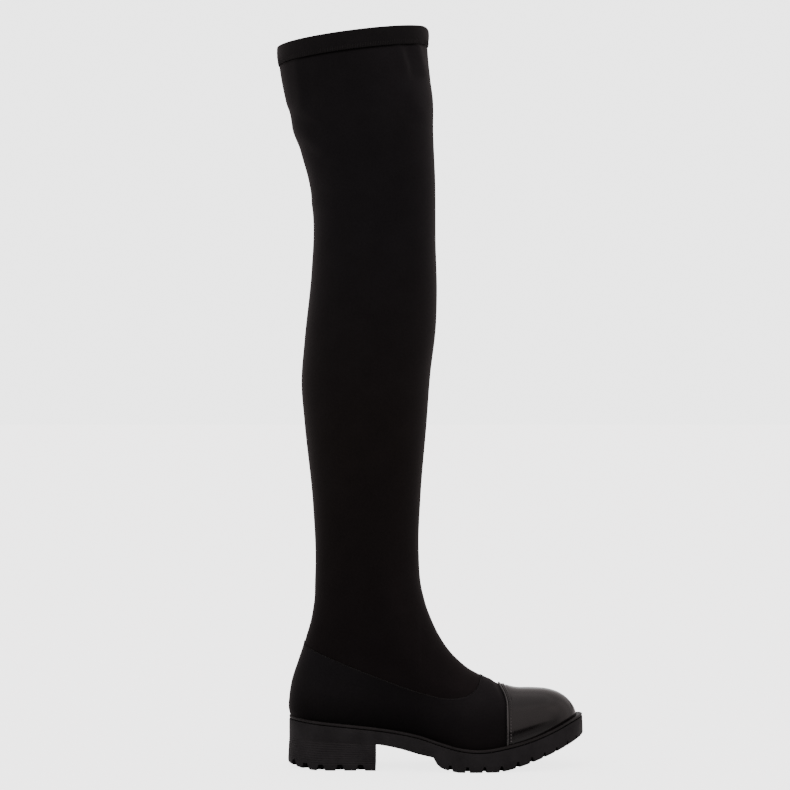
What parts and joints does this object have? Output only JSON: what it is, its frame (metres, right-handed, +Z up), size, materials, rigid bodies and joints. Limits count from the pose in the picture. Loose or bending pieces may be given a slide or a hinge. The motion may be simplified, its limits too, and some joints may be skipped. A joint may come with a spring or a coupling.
{
  "type": "stretch boot",
  "caption": "Over-the-knee pull-on boot for the right foot: stretch sock shaft with a folded collar, cloth foot, glossy toe cap with piping, lugged rubber sole and ribbed block heel.",
  "frame": {"origin": "on the floor, at the middle of the length and width of the boot's box", "axes": "+X to the toe, +Y to the inner side of the foot, +Z up along the shaft"},
  "size_m": [0.2756, 0.1222, 0.6638],
  "materials": {
    "foot_cloth": "matte black stretch suede cloth",
    "leg_cloth": "matte black stretch suede cloth",
    "band_cloth": "matte black folded hem, cover stitched",
    "patent": "black patent, high gloss",
    "piping_patent": "black patent, high gloss",
    "sole_rubber": "satin black rubber",
    "heel_rubber": "satin black rubber, ribbed",
    "welt_rubber": "satin black rubber",
    "insole_sock": "matte dark sock lining"
  },
  "bodies": {
    "root": {"upper": "foot_cloth", "shaft": "leg_cloth", "collar_band": "band_cloth", "toe_cap": "patent", "cap_piping": "piping_patent", "outsole": "sole_rubber", "heel": "heel_rubber", "welt": "welt_rubber", "insole": "insole_sock"}
  },
  "joints": []
}
